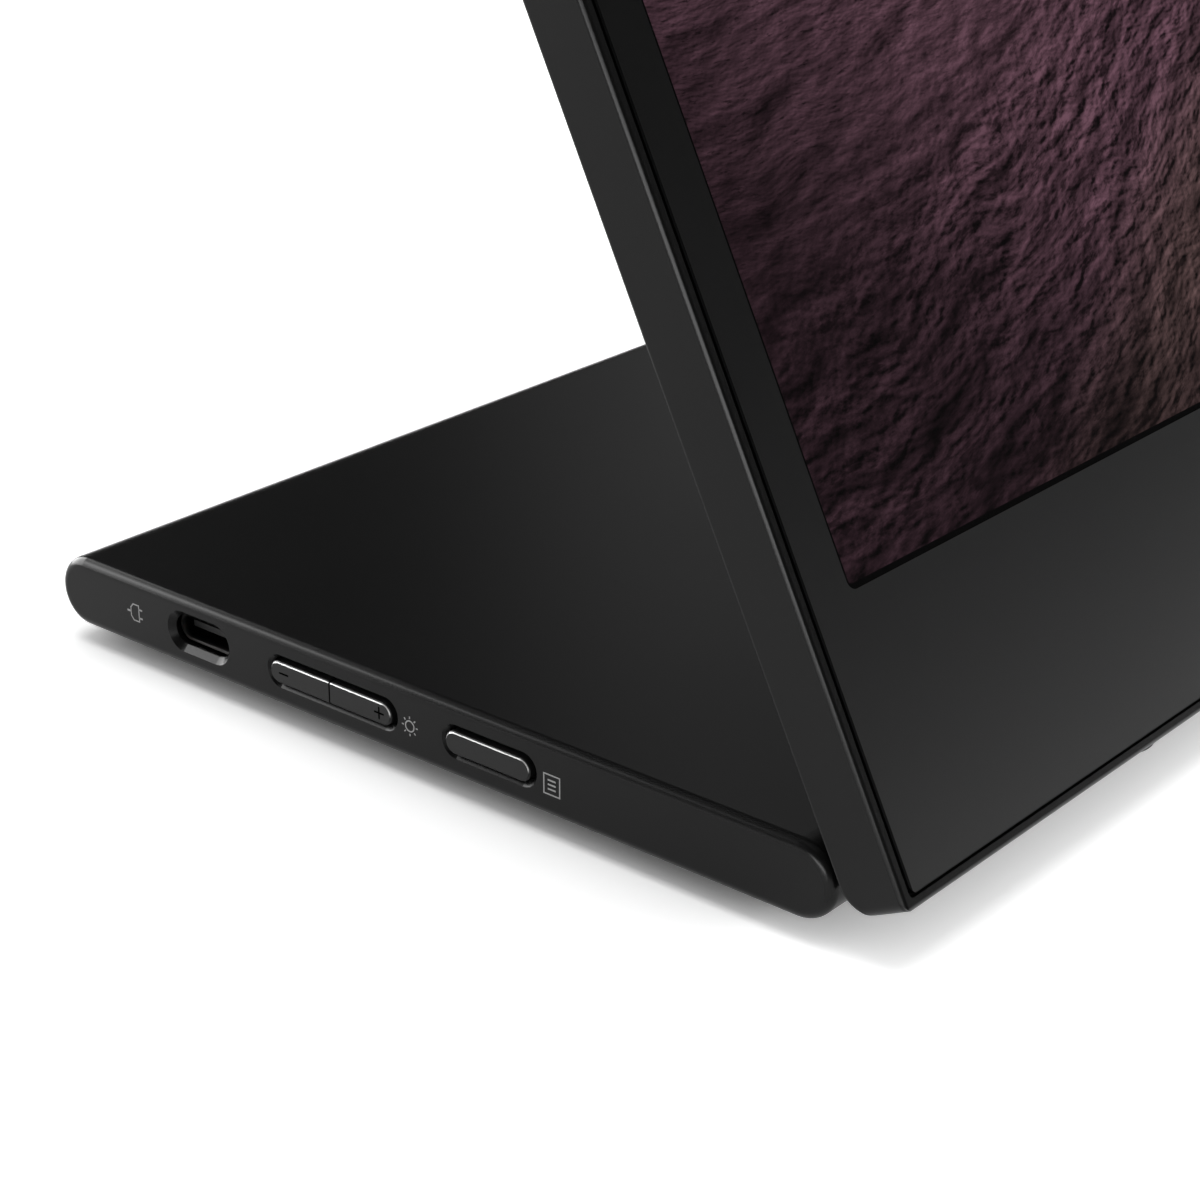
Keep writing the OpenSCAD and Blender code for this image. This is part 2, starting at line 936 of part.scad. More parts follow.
// Runs in from the hinge's axis, turns to the back and turns again to the main board
module display_cable_base() {
    run_x = notch_in_x - 9;
    color(rubber_black)
        on_base()
            handed(-1)
                translate([0, 0, base_r]) {
                    translate([run_x, base_r, 0])
                        cable_run(notch_in_x - 0.1 - run_x);
                    translate([run_x, base_r, 0])
                        mirror([1, 0, 0])
                            cable_turn(cable_bend);
                    translate([run_x - cable_bend, base_r + cable_bend, 0])
                        rotate([0, 0, 90])
                            cable_run(cable_y - base_r - 2 * cable_bend);
                    translate([run_x, cable_y, 0])
                        mirror([1, 0, 0])
                            mirror([0, 1, 0])
                                cable_turn(cable_bend);
                    translate([run_x, cable_y, 0])
                        cable_run(board_inner_x - layer_play - run_x);
                }
}

// Enters the knuckle along the axis, turns through the neck and turns again to the driver board
module display_cable_screen() {
    depth = driver_back + 0.6;
    turn_x = notch_in_x + 5;
    turn_r = 3;
    color(rubber_black)
        on_screen()
            handed(-1)
                translate([0, hem, 0]) {
                    translate([notch_in_x + 0.1, 0, -back_gap])
                        cable_run(turn_x - notch_in_x - 0.1);
                    translate([turn_x, 0, -back_gap])
                        rotate([90, 0, 0])
                            cable_turn(turn_r);
                    translate([turn_x + turn_r, 0, -back_gap + turn_r])
                        cylinder(r = cable_r, h = back_gap + depth - 2 * turn_r);
                    translate([turn_x, 0, depth])
                        rotate([-90, 0, 0])
                            cable_turn(turn_r);
                    translate([driver_w / 2 + 0.05, 0, depth])
                        cable_run(turn_x - driver_w / 2 - 0.05);
                }
}

// ---------- Screen ----------

picture_bottom = chin_h;
pocket_x = side_x - rim_w;

// Outer form of the screen housing, grown by extra: round bars along its four long edges, the flat faces
// between them, and the whole trimmed to the outline seen from the front
module screen_form(extra) {
    w = body_w + 2 * extra;
    r = edge_r + extra;
    front_bar = screen_t - edge_r;
    intersection() {
        union() {
            for (v = [back_edge_r, screen_h - back_edge_r])
                translate([0, v, back_edge_r])
                    rotate([0, 90, 0])
                        rounded_bar(w, back_edge_r + extra, r);
            for (v = [edge_r, screen_h - edge_r])
                translate([0, v, front_bar])
                    rotate([0, 90, 0])
                        capsule(w, r);
            translate([0, screen_h - back_edge_r, screen_t / 2])
                rotate([90, 0, 0])
                    linear_extrude(screen_h - 2 * back_edge_r)
                        rounded_rect(w, screen_t + 2 * extra, r);
            translate([0, screen_h - edge_r, 0])
                rotate([90, 0, 0])
                    linear_extrude(screen_h - 2 * edge_r)
                        intersection() {
                            translate([0, screen_t / 2])
                                rounded_rect(w, screen_t + 2 * extra, r);
                            translate([-w, back_edge_r])
                                square([2 * w, screen_t]);
                        }
            translate([0, screen_h / 2, back_edge_r])
                linear_extrude(front_bar - back_edge_r)
                    rounded_rect(w, screen_h + 2 * extra, r);
        }
        translate([0, screen_h / 2, -1])
            linear_extrude(screen_t + 2)
                rounded_rect(w, screen_h + 2 * extra, corner_r + extra);
    }
}

// Housing of the screen: back, four sides that end in a narrow lip, a ledge for the glass, ribs and posts
module screen_housing() {
    color(graphite)
        on_screen()
            difference() {
                union() {
                    difference() {
                        screen_form(0);
                        translate([0, 0, back_t])
                            rounded_plate(-pocket_x, rim_w, pocket_x, screen_h - rim_w, screen_t, 0.6);
                        translate([0, 0, ledge_t])
                            rounded_plate(lip_w - side_x, lip_w, side_x - lip_w, screen_h - lip_w, screen_t, 0.6);
                    }
                    for (x = [-5:5])
                        translate([x * 26 - rib_w / 2, chin_h + 4, back_t - 0.1])
                            cube([rib_w, picture_h - 4, tray_back - back_t + 0.1]);
                    for (x = [-1, 1])
                        translate([x * (driver_w / 2 - 5), driver_v + 8.5, back_t - 0.1])
                            cylinder(r = 2, h = driver_back - back_t + 0.1);
                }
                for (side = [-1, 1])
                    handed(side) {
                        translate([notch_in_x + knuckle_play + knuckle_wall, hem - 1.4, -1])
                            cube([notch_w - 2 * knuckle_play - knuckle_wall, 2.8, back_t + 1.1]);
                        for (h = screen_leaf_holes)
                            translate([screen_leaf_x + h[0], h[1], 0.3])
                                cylinder(r = bore_r, h = 5);
                    }
                for (x = [-1, 1])
                    translate([x * (driver_w / 2 - 5), driver_v + 8.5, 0.5])
                        cylinder(r = bore_r, h = 5);
            }
}

// Sheet of glass over the whole front, with eased edges
module cover_glass() {
    ease = 0.15;
    w = body_w - 2 * glass_inset;
    h = screen_h - 2 * glass_inset;
    color(gloss_black)
        on_screen()
            translate([0, screen_h / 2, glass_back])
                intersection() {
                    linear_extrude(glass_t)
                        rounded_rect(w, h, 0.8);
                    rotate([90, 0, 0])
                        linear_extrude(h + 1, center = true)
                            polygon([[-w / 2, 0], [w / 2, 0], [w / 2, glass_t - ease],
                                [w / 2 - ease, glass_t], [ease - w / 2, glass_t], [-w / 2, glass_t - ease]]);
                    rotate([90, 0, 90])
                        linear_extrude(w + 1, center = true)
                            polygon([[-h / 2, 0], [h / 2, 0], [h / 2, glass_t - ease],
                                [h / 2 - ease, glass_t], [ease - h / 2, glass_t], [-h / 2, glass_t - ease]]);
                }
}

// Foam tape between the ledge and the glass
module glass_adhesive() {
    color(rubber_black)
        on_screen()
            translate([0, 0, ledge_t])
                difference() {
                    rounded_plate(glass_inset - side_x, glass_inset, side_x - glass_inset,
                        screen_h - glass_inset, adhesive_t, 0.8);
                    translate([0, 0, -1])
                        rounded_plate(-pocket_x, rim_w, pocket_x, screen_h - rim_w, 3, 0.6);
                }
}

cell_x = picture_w / 2 + cell_side;
cell_low = picture_bottom - cell_below;
cell_high = picture_bottom + picture_h + cell_above;

module lcd_cell() {
    color(gloss_black)
        on_screen()
            translate([-cell_x, cell_low, cell_back])
                cube([2 * cell_x, cell_high - cell_low, cell_t]);
}

// Optical layer behind the cell: back is its height above the screen's back, low where it starts
module optical_layer(back, low, t) {
    x = cell_x - tray_wall - layer_play;
    translate([-x, low, back])
        cube([2 * x, cell_high - tray_wall - layer_play - low, t]);
}

reflector_back = tray_back + tray_sheet;
guide_back = reflector_back + reflector_t;
guide_low = cell_low + tray_wall + led_strip_w + 2 * layer_play;

module diffuser_sheets() {
    color(film_white)
        on_screen()
            optical_layer(guide_back + guide_t, guide_low, film_t);
}

module light_guide() {
    color(clear_plastic)
        on_screen()
            optical_layer(guide_back, guide_low, guide_t);
}

module reflector_sheet() {
    color(film_white)
        on_screen()
            optical_layer(reflector_back, cell_low + tray_wall + layer_play, reflector_t);
}

// Pressed metal tray that holds the backlight's layers
module backlight_tray() {
    color(steel)
        on_screen()
            difference() {
                translate([-cell_x, cell_low, tray_back])
                    cube([2 * cell_x, cell_high - cell_low, cell_back - tray_back]);
                translate([tray_wall - cell_x, cell_low + tray_wall, reflector_back])
                    cube([2 * (cell_x - tray_wall), cell_high - cell_low - 2 * tray_wall, 5]);
            }
}

// Strip of small lamps along the lower edge of the light guide
module led_strip() {
    x = cell_x - tray_wall - layer_play;
    pitch = 12;
    count = floor((x - 1.5) / pitch);
    color(film_white)
        on_screen()
            translate([0, cell_low + tray_wall + layer_play, guide_back]) {
                translate([-x, 0, 0])
                    cube([2 * x, led_strip_w, 0.2]);
                for (i = [-count:count])
                    translate([i * pitch - 1.5, 1.2, 0.1])
                        cube([3, led_strip_w - 1.2, 0.6]);
            }
}

// Narrow board behind the black band that drives the panel
module panel_driver_board() {
    color(board_green)
        on_screen()
            difference() {
                union() {
                    translate([0, 0, driver_back])
                        rounded_plate(-driver_w / 2, driver_v, driver_w / 2, driver_v + driver_h, board_t, 0.8);
                    for (x = [-30, -8, 14, 34])
                        translate([x, driver_v + 5, driver_back + board_t])
                            cube([7, 7, 1]);
                    translate([-25, driver_v + 1, driver_back + board_t])
                        cube([50, 2, 1.6]);
                }
                for (x = [-1, 1])
                    translate([x * (driver_w / 2 - 5), driver_v + 8.5, driver_back - 1])
                        cylinder(r = bore_r + 0.1, h = 3);
            }
}

// Film tabs from the driver board to the lower edge of the cell
module panel_flexes() {
    start_v = driver_v + driver_h - 2.5;
    color(amber_film)
        on_screen()
            for (x = [-36, 0, 36]) {
                translate([x - 8, start_v, driver_back + board_t])
                    cube([16, 2.5, 0.12]);
                translate([x - 8, start_v + 2.38, driver_back + board_t])
                    cube([16, 0.12, cell_back + 0.4 - driver_back - board_t]);
                translate([x - 8, start_v + 2.38, cell_back + 0.4])
                    cube([16, cell_low - start_v - 2.38, 0.12]);
            }
}

module driver_board_screws() {
    color(dark_steel)
        on_screen()
            for (x = [-1, 1])
                translate([x * (driver_w / 2 - 5), driver_v + 8.5, driver_back + board_t])
                    rotate([180, 0, 0])
                        screw_up(board_t + 1.5);
}

base_housing();
base_bottom_cover();
cover_screws();
base_stiffener_plate();
front_foot_left();
front_foot_right();
rear_foot_left();
rear_foot_right();
main_board();
side_board();
board_screws();
board_link_ribbon();
key_switches();
usb_c_shell_left();
usb_c_shell_right();
usb_c_tongue_left();
usb_c_tongue_right();
usb_c_contacts();
brightness_down_key();
brightness_up_key();
menu_key();
power_key();
hinge_base_leaf_left();
hinge_base_leaf_right();
base_leaf_screws();
display_cable_base();
hinge_pin_left();
hinge_pin_right();
hinge_washers_left();
hinge_washers_right();
hinge_nut_left();
hinge_nut_right();
hinge_screen_leaf_left();
hinge_screen_leaf_right();
screen_leaf_screws();
knuckle_cover_left();
knuckle_cover_right();
display_cable_screen();
screen_housing();
cover_glass();
glass_adhesive();
lcd_cell();
diffuser_sheets();
light_guide();
reflector_sheet();
backlight_tray();
led_strip();
panel_driver_board();
panel_flexes();
driver_board_screws();
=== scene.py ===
# Portable monitor that leans on a flat stand base: finishes, printed signs, the lit picture and the studio.
# Metres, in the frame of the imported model. The file follows the object as it is put together, base first.
import json
import math

import bpy
import numpy as np
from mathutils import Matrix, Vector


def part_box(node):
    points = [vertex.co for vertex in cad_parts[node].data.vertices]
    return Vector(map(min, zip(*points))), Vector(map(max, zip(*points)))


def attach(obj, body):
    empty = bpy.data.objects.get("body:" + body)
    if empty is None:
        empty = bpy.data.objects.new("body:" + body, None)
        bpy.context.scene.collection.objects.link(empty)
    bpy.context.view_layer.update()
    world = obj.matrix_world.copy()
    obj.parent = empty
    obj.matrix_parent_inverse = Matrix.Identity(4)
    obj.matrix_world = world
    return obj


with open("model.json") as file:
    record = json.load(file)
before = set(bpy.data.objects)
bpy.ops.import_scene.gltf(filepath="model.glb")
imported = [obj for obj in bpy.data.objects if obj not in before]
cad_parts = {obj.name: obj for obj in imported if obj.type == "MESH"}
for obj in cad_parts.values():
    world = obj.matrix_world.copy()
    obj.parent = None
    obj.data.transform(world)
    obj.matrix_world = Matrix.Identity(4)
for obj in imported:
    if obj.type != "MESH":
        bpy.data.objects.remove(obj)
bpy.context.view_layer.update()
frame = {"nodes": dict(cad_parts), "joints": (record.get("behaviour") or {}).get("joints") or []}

# ---- Casing of the stand base ----
# A moulded shell of black glass-filled plastic, open below, and the thin cover that is screwed into its
# underside. Both are sprayed with one satin coat, which leaves a fine even grain.


class Shade:
    """A shader socket. Arithmetic on it adds Math nodes to its material, from either side of the sign."""

    def __init__(self, tree, socket):
        self.tree = tree
        self.socket = socket

    def node(self, kind, settings, sockets, output=0):
        """Adds a node of a kind: its settings go in first, then the values or links of its input sockets."""
        made = self.tree.nodes.new("ShaderNode" + kind)
        for name, value in settings.items():
            setattr(made, name, value)
        for name, value in sockets.items():
            if isinstance(value, Shade):
                self.tree.links.new(value.socket, made.inputs[name])
            else:
                made.inputs[name].default_value = value
        return Shade(self.tree, made.outputs[output])

    def math(self, operation, *others):
        """One step of arithmetic, by the name of its operation."""
        sockets = dict(enumerate((self, *others)))
        return self.node("Math", {"operation": operation}, sockets)

    def __add__(self, other):
        return self.math("ADD", other)

    def __sub__(self, other):
        return self.math("SUBTRACT", other)

    def __mul__(self, other):
        return self.math("MULTIPLY", other)

    __radd__ = __add__
    __rmul__ = __mul__

    def __rsub__(self, other):
        return self.node("Math", {"operation": "SUBTRACT"}, {0: other, 1: self})

    def __rtruediv__(self, other):
        return self.node("Math", {"operation": "DIVIDE"}, {0: other, 1: self})

    def ramp(self, low, high):
        """Smooth step: 0 where the value is at most low, 1 where it is at least high."""
        sockets = {"Value": self, "From Min": low, "From Max": high}
        return self.node("MapRange", {"interpolation_type": "SMOOTHSTEP"}, sockets)

    def part(self, axis):
        """One coordinate of a vector."""
        return self.node("SeparateXYZ", {}, {0: self}, output=axis)

    def along(self, direction):
        """How far a vector goes along a direction: their dot product."""
        sockets = {0: self, 1: direction.tolist()}
        return self.node("VectorMath", {"operation": "DOT_PRODUCT"}, sockets, output="Value")

    def noise(self, size, detail=2.0, output="Fac", **more):
        """Cloudy noise on these coordinates, whose clouds measure about size."""
        sockets = {"Vector": self, "Scale": 1 / size, "Detail": detail, **more}
        return self.node("TexNoise", {}, sockets, output=output)

    def colours(self, low, high):
        """Colour that runs from low where the value is 0 to high where it is 1."""
        sockets = {0: self, 6: low, 7: high}
        return self.node("Mix", {"data_type": "RGBA"}, sockets, output=2)


class Finish:
    """A material made of one Principled shader, whose plain numbers are set on the shader's own sockets."""

    def __init__(self, name, **numbers):
        self.material = bpy.data.materials.new(name)
        self.material.use_nodes = True
        self.tree = self.material.node_tree
        self.shader = self.tree.nodes["Principled BSDF"]
        for socket, value in numbers.items():
            self.shader.inputs[socket.replace("_", " ")].default_value = value
        coordinates = self.tree.nodes.new("ShaderNodeTexCoord")
        self.place = Shade(self.tree, coordinates.outputs["Object"])
        self.facing = Shade(self.tree, coordinates.outputs["Normal"])

    def feed(self, socket, shade):
        """Lets a shade set one socket of the shader."""
        self.tree.links.new(shade.socket, self.shader.inputs[socket])

    def relief(self, height, depth):
        """Bumps the surface, on top of the bumps it has: a height of 1 stands depth metres proud."""
        sockets = {"Height": height, "Distance": depth}
        for link in self.shader.inputs["Normal"].links:
            sockets["Normal"] = Shade(self.tree, link.from_socket)
        self.feed("Normal", height.node("Bump", {}, sockets))

    def dress(self, *names):
        """Gives CAD nodes this finish."""
        for name in names:
            frame["nodes"][name].material_slots[0].material = self.material


def grey(level):
    """Colour that is equally bright in all its channels, on a linear scale."""
    return (level, level, level, 1.0)


coat_level = 0.0046
coat_grain = 0.00035
coat_cloud = 0.03


def satin_coat(name):
    """Sprayed coat: a fine grain, and broad clouds where the coat lies thinner and shines a little less."""
    coat = Finish(name, Specular_IOR_Level=0.13)
    clouds = coat.place.noise(coat_cloud, detail=3.0)
    speckle = coat.place.noise(coat_grain, detail=2.0)
    unevenness = clouds * 0.6 + speckle * 0.4
    coat.feed("Base Color", unevenness.colours(grey(coat_level * 0.82), grey(coat_level * 1.18)))
    coat.feed("Roughness", 0.23 + clouds * 0.06)
    coat.relief(speckle, depth=0.000004)
    return coat


satin_coat("stand_coat").dress("base_housing", "base_bottom_cover")

# ---- Rubber feet ----
# Four moulded pills of black rubber, bonded to the underside. The front pair also wraps the lower front edge
# of the base. Moulded rubber is dull, with a fine pebble in it.


def clouded(name, size, dark, pale, smooth, rough, detail=3.0, depth=None, **numbers):
    """Finish under one cloudy noise, whose clouds measure about size. Where the noise is low it is dark and
    smooth, and where it is high it is pale and rough and stands depth metres proud."""
    finish = Finish(name, **numbers)
    clouds = finish.place.noise(size, detail=detail)
    finish.feed("Base Color", clouds.colours(dark, pale))
    finish.feed("Roughness", smooth + clouds * (rough - smooth))
    if depth:
        finish.relief(clouds, depth)
    return finish


rubber = clouded("foot_rubber", size=0.0006, dark=grey(0.010), pale=grey(0.018), smooth=0.62, rough=0.82,
    detail=4.0, depth=0.00003, Specular_IOR_Level=0.25)
rubber.dress(*(f"{end}_foot_{side}" for end in ("front", "rear") for side in ("left", "right")))

# ---- Screws ----
# Rolled steel screws, blackened in a hot salt bath. The eight in the bottom cover show their heads, and the
# others hold the boards and the hinge leaves inside.

blackened = clouded("blackened_steel", size=0.0004, dark=grey(0.03), pale=grey(0.06), smooth=0.34, rough=0.46,
    depth=0.000004, Metallic=0.9)
blackened.dress("cover_screws", "board_screws", "base_leaf_screws", "screen_leaf_screws",
    "driver_board_screws", "hinge_washers_left", "hinge_washers_right")

# ---- USB-C sockets ----
# A drawn stainless tube, with a black plastic tongue moulded in it and twelve gold-plated strips on each face
# of the tongue. The tube's steel darkens to near black deeper inside, a painted shade for the little light
# that reaches in.

# Drawing lines in a metre of tube, along it and across it, and the depths at which the painted shade inside
# the tube starts and is full.
lines_along, lines_across = 300, 9000
shade_start_depth = 0.0008
full_shade_depth = 0.0022

socket_steel = Finish("socket_steel", Metallic=1.0)
drawn = socket_steel.place.node("Mapping", {}, {"Vector": socket_steel.place,
    "Scale": (lines_along, lines_across, lines_across)})
drawn_lines = drawn.noise(1.0, detail=3.0)
base_low, base_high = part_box("base_housing")
base_middle = (base_low.x + base_high.x) / 2
half_base = base_high.x - base_middle
inside_socket = half_base - (socket_steel.place.part(0) - base_middle).math("ABSOLUTE")
mouth_steel = drawn_lines.colours((0.42, 0.41, 0.40, 1), (0.58, 0.57, 0.56, 1))
# Painted shade: the colour runs from the drawn steel at the mouth to near black deep inside the socket.
socket_steel.feed("Base Color", inside_socket.ramp(shade_start_depth, full_shade_depth).colours(mouth_steel, grey(0.03)))
socket_steel.feed("Roughness", 0.24 + drawn_lines * 0.16)
socket_steel.relief(drawn_lines, depth=0.000003)
socket_steel.dress("usb_c_shell_left", "usb_c_shell_right")

black_plastic = clouded("black_plastic", size=0.0005, dark=grey(0.008), pale=grey(0.012), smooth=0.42,
    rough=0.54, depth=0.000006, Specular_IOR_Level=0.2)
black_plastic.dress("usb_c_tongue_left", "usb_c_tongue_right", "key_switches",
    "knuckle_cover_left", "knuckle_cover_right")

gold = clouded("gold_plate", size=0.0003, dark=(0.62, 0.34, 0.07, 1), pale=(0.78, 0.47, 0.12, 1), smooth=0.22,
    rough=0.32, detail=2.0, Metallic=1.0)
gold.dress("usb_c_contacts")

# ---- Keys ----
# Caps moulded in black plastic. Along the upper edge the outer half of their chamfer gets a pale, half
# metallic colour, a painted highlight for a chamfer that catches light from above; the lower chamfer stays as
# dark as the cap.

# How far behind the cap's face the painted highlight ends, and how softly.
highlight_depth = 0.00009
highlight_blur = 0.00002

key_coat = Finish("key_coat", Specular_IOR_Level=0.2)
key_grain = key_coat.place.noise(0.0003, detail=2.0)
# The chamfer slopes at 45 degrees, so there the outward part of the facing is about 0.7.
outward = key_coat.facing.part(0).math("ABSOLUTE")
sloping = outward.ramp(0.60, 0.68) * (1 - outward.ramp(0.74, 0.82))
# Painted highlight: only the upper side of the chamfer, where light from above falls, is made pale.
lit_upper_side = key_coat.facing.part(2).ramp(-0.1, 0.3)
key_face = base_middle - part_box("menu_key")[0].x
off_middle = (key_coat.place.part(0) - base_middle).math("ABSOLUTE")
outer_half = off_middle.ramp(key_face - highlight_depth - highlight_blur, key_face - highlight_depth + highlight_blur)
cut_edge_highlight = sloping * lit_upper_side * outer_half
key_coat.feed("Base Color", cut_edge_highlight.colours(grey(0.0055), grey(0.5)))
key_coat.feed("Metallic", cut_edge_highlight * 0.4)
key_coat.feed("Roughness", 0.40 + key_grain * 0.05 - cut_edge_highlight * 0.1)
key_coat.relief(key_grain, depth=0.000003)
key_coat.dress("brightness_down_key", "brightness_up_key", "menu_key", "power_key")

# ---- Signs on the side faces ----
# Pad-printed light grey signs: a plug beside the socket, a sun beside the brightness keys, a list beside the
# menu key and a power sign beside the power key. Each is a film of ink.

ink_thickness = 0.00002
ink_line = 0.00014


def stroke(path, width, closed=False):
    """Outline of a flat bar carried along a path: every point steps half the width to either side along the
    path's normal, and further at a corner by one over the cosine of half the turn."""
    path = np.asarray(path, float)
    ahead = np.roll(path, -1, axis=0) - path
    if not closed:
        ahead[-1] = ahead[-2]
    ahead /= np.linalg.norm(ahead, axis=1, keepdims=True)
    behind = np.roll(ahead, 1, axis=0)
    if not closed:
        behind[0] = ahead[0]
    normal = np.stack([-(ahead + behind)[:, 1], (ahead + behind)[:, 0]], axis=1)
    normal /= np.linalg.norm(normal, axis=1, keepdims=True)
    half_turn = np.abs(np.einsum("ij,ij->i", normal, np.stack([-ahead[:, 1], ahead[:, 0]], axis=1)))
    step = normal * (width / 2 / half_turn)[:, None]
    return path + step, path - step, closed


def ring(radius, start=0.0, turn=360.0, steps=48):
    """Points of a circle's arc: radius times cosine and sine of evenly spaced angles."""
    count = steps if turn == 360.0 else steps + 1
    angle = np.radians(start + turn * np.arange(count) / steps)
    return radius * np.stack([np.cos(angle), np.sin(angle)], axis=1)


def sign(name, strokes, centre, face_x, outwards, thickness, material, body):
    """Mesh of flat bars on a face that looks along X. Each bar is a grid of its path's points by the four
    corners of its section: the two outlines, at the thickness above the face and at half of it below."""
    vertices, faces = [], []
    for left, right, closed in strokes:
        count = len(left)
        first = sum(len(v) for v in vertices)
        flat = np.stack([left, right, right, left], axis=1)
        x = face_x + outwards * thickness * np.array([1.0, 1.0, -0.5, -0.5])
        section = np.concatenate([np.broadcast_to(x[None, :, None], (count, 4, 1)), flat], axis=2)
        vertices.append(section.reshape(-1, 3) + (0, *centre))
        here = np.arange(count if closed else count - 1)
        after = (here + 1) % count
        corner = np.arange(4)
        beside = (corner + 1) % 4
        quads = np.stack([here[:, None] * 4 + corner, here[:, None] * 4 + beside,
            after[:, None] * 4 + beside, after[:, None] * 4 + corner], axis=2).reshape(-1, 4)
        if not closed:
            quads = np.concatenate([quads, [corner[::-1], (count - 1) * 4 + corner]])
        faces.append(quads + first)
    mesh = bpy.data.meshes.new(name)
    faces = np.concatenate(faces)
    if outwards > 0:
        faces = faces[:, ::-1]
    mesh.from_pydata(np.concatenate(vertices).tolist(), [], faces.tolist())
    mesh.materials.append(material)
    piece = bpy.data.objects.new(name, mesh)
    bpy.context.scene.collection.objects.link(piece)
    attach(piece, body)


ink = clouded("sign_ink", size=0.0002, dark=grey(0.36), pale=grey(0.48), smooth=0.5, rough=0.6,
    Specular_IOR_Level=0.2)


def mm(*numbers):
    """Numbers in millimetres, made metres."""
    return np.array(numbers) * 0.001


def bar(start, end, width=ink_line):
    """A straight bar from one point to another."""
    return stroke([start, end], width)


def closed_line(points):
    """A closed line through points in millimetres."""
    return stroke(mm(*points), ink_line, closed=True)


plug_body = [(-0.15, -0.95), (0.75, -0.95), (0.75, 0.95), (-0.15, 0.95), (-0.55, 0.5), (-0.55, -0.5)]
plug_sign = [closed_line(plug_body), bar(mm(-1.15, 0), mm(-0.55, 0), ink_line * 1.6)]
plug_sign += [bar(mm(0.75, z), mm(1.3, z), ink_line * 1.4) for z in (-0.5, 0.5)]

sun_rays = 8
sun_radius = 0.00058
ray_inner, ray_outer = 0.00082, 0.00108
sun_sign = [stroke(ring(sun_radius), ink_line, closed=True)]
for ray_turn in np.arange(sun_rays) * 2 * math.pi / sun_rays:
    direction = np.array([math.cos(ray_turn), math.sin(ray_turn)])
    sun_sign.append(bar(direction * ray_inner, direction * ray_outer))

list_sign = [closed_line([(-1.0, -1.05), (1.0, -1.05), (1.0, 1.05), (-1.0, 1.05)])]
list_sign += [bar(mm(-0.5, z), mm(0.5, z), ink_line * 1.2) for z in (-0.48, 0, 0.48)]

power_radius = 0.00085
power_sign = [stroke(ring(power_radius, start=120, turn=300), ink_line), bar(mm(0, 0.2), mm(0, 1.1))]


def on_left(strokes):
    """Strokes turned for the left face, on which what is drawn to the right lies to the front."""
    return [(left * (-1, 1), right * (-1, 1), closed) for left, right, closed in strokes]


# A sign's middle is given in millimetres, from the front edge of the base and from its underside.
front_edge = base_low.y
underside = base_low.z
for sign_name, strokes, face_x, outwards, from_front, from_below in (
    ("plug_sign_left", on_left(plug_sign), base_low.x, -1, 93.0, 4.15),
    ("sun_sign", on_left(sun_sign), base_low.x, -1, 51.4, 3.8),
    ("list_sign", on_left(list_sign), base_low.x, -1, 32.65, 3.6),
    ("plug_sign_right", plug_sign, base_high.x, 1, 93.0, 4.15),
    ("power_sign", power_sign, base_high.x, 1, 53.8, 4.1),
):
    middle = (front_edge + from_front * 0.001, underside + from_below * 0.001)
    sign(sign_name, strokes, middle, face_x, outwards, ink_thickness, ink.material,
        "stand_base")

# ---- Marks on the brightness keys ----
# A minus and a plus, moulded into the caps and filled with black. The plus is a level bar and two upright
# halves that end at it.

mark_line = 0.0002
mark_reach = 0.00068
mark_proud = 0.000008
mark_fill = clouded("mark_fill", size=0.0002, dark=grey(0.0004), pale=grey(0.0008), smooth=0.7, rough=0.8,
    detail=2.0, Specular_IOR_Level=0.0)
level_bar = stroke([(-mark_reach, 0), (mark_reach, 0)], mark_line)
upright_halves = [stroke([(0, s * mark_line / 2), (0, s * mark_reach)], mark_line) for s in (-1, 1)]
for mark, key, from_front, strokes in (
    ("minus_mark", "brightness_down_key", 69.2, [level_bar]),
    ("plus_mark", "brightness_up_key", 55.4, [level_bar, *upright_halves]),
):
    key_low, key_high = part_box(key)
    middle = (front_edge + from_front * 0.001, (key_low.z + key_high.z) / 2)
    sign(mark, strokes, middle, key_low.x, -1, mark_proud, mark_fill.material, key)

# ---- Hinges ----
# Pressed and turned steel: leaves, pins and nuts, hidden in the base and in the knuckles. The stiffener
# plate between the boards is punched from steel sheet too.

hinge_steel = clouded("hinge_steel", size=0.0015, dark=grey(0.38), pale=grey(0.52), smooth=0.3, rough=0.44,
    detail=4.0, depth=0.00001, Metallic=1.0)
hinge_steel.dress("base_stiffener_plate", *(f"hinge_{part}_{side}" for side in ("left", "right")
    for part in ("base_leaf", "screen_leaf", "pin", "nut")))

# ---- Boards, ribbons and cable ----
# Fibreglass boards under green lacquer, with copper tracks beneath it. They are joined by amber film ribbons
# and by a cable in a black jacket.

# Cells of the track pattern in a metre, and the turn of the ribbon's wave in radians per metre.
board_cells = 700.0
ribbon_turn = 2600.0

board = Finish("circuit_board", Specular_IOR_Level=0.5)
tracks = board.place.node("TexVoronoi", {"distance": "MANHATTAN", "feature": "DISTANCE_TO_EDGE"},
    {"Vector": board.place, "Scale": board_cells}, output="Distance")
board.feed("Base Color", tracks.ramp(0.02, 0.06).colours((0.05, 0.16, 0.06, 1), (0.008, 0.06, 0.025, 1)))
board.feed("Roughness", 0.3 + tracks * 0.3)
board.relief(tracks, depth=0.00002)
board.dress("main_board", "side_board", "panel_driver_board")

amber = Finish("amber_film", Specular_IOR_Level=0.5)
film_tracks = amber.place.part(0).math("MULTIPLY", ribbon_turn).math("SINE") * 0.5 + 0.5
amber.feed("Base Color", film_tracks.colours((0.30, 0.12, 0.02, 1), (0.42, 0.19, 0.04, 1)))
amber.feed("Roughness", 0.3 + film_tracks * 0.1)
amber.dress("board_link_ribbon", "panel_flexes")

